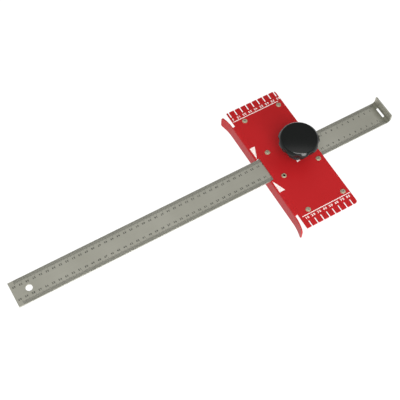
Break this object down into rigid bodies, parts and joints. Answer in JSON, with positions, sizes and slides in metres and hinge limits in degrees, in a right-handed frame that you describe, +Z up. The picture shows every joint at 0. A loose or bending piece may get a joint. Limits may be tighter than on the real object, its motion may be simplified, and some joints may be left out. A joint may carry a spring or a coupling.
{
  "type": "drywall marking gauge",
  "caption": "Steel rule that slides in a folded sheet-metal head with a fence, notched ends and a lobed clamp knob, for marking lines parallel to a board's edge.",
  "frame": {"origin": "on the fence's working face, on the rule's centre line, level with the board face that the sole rests on", "axes": "+X from the fence face along the rule to its tab, +Y along the fence to the end whose first notch is nearest the fence, +Z up to the knob"},
  "size_m": [0.613, 0.224, 0.07],
  "materials": {
    "red_paint": "semi-gloss red enamel on sheet steel",
    "glide_plastic": "dark moulded sliding plastic",
    "rivet_aluminium": "plain aluminium blind rivet",
    "zinc_steel": "zinc-plated steel",
    "rule_steel": "satin stainless steel with an etched scale",
    "pad_brass": "turned brass",
    "knob_plastic": "semi-gloss black moulded plastic"
  },
  "bodies": {
    "head": {"fence_plate": "red_paint", "glide_sole": "glide_plastic", "guide_rivets": "rivet_aluminium", "end_rivets": "rivet_aluminium", "rivet_pins": "zinc_steel", "guide_bush_1": "zinc_steel", "guide_bush_2": "zinc_steel", "guide_bush_3": "zinc_steel", "guide_bush_4": "zinc_steel", "end_spacer_1": "zinc_steel", "end_spacer_2": "zinc_steel", "end_spacer_3": "zinc_steel", "end_spacer_4": "zinc_steel", "clamp_boss": "zinc_steel"},
    "rule": {"rule": "rule_steel"},
    "pad": {"pressure_pad": "pad_brass"},
    "knob": {"knob": "knob_plastic", "clamp_screw": "zinc_steel"}
  },
  "joints": [
    {"name": "rule_slide", "type": "slide", "parent": "head", "child": "rule", "axis": [1, 0, 0], "range_m": [-0.118, 0.392]},
    {"name": "pad_lift", "type": "slide", "parent": "head", "child": "pad", "axis": [0, 0, 1], "range_m": [0, 0.0025]},
    {"name": "knob_turn", "type": "hinge", "parent": "pad", "child": "knob", "pos_m": [0.0555, 0, 0.03], "axis": [0, 0, 1], "range_deg": [0, 720]}
  ],
  "couplings": [
    {"joint": "knob_turn", "follows": "pad_lift", "rad_per_m": 5026.5}
  ]
}
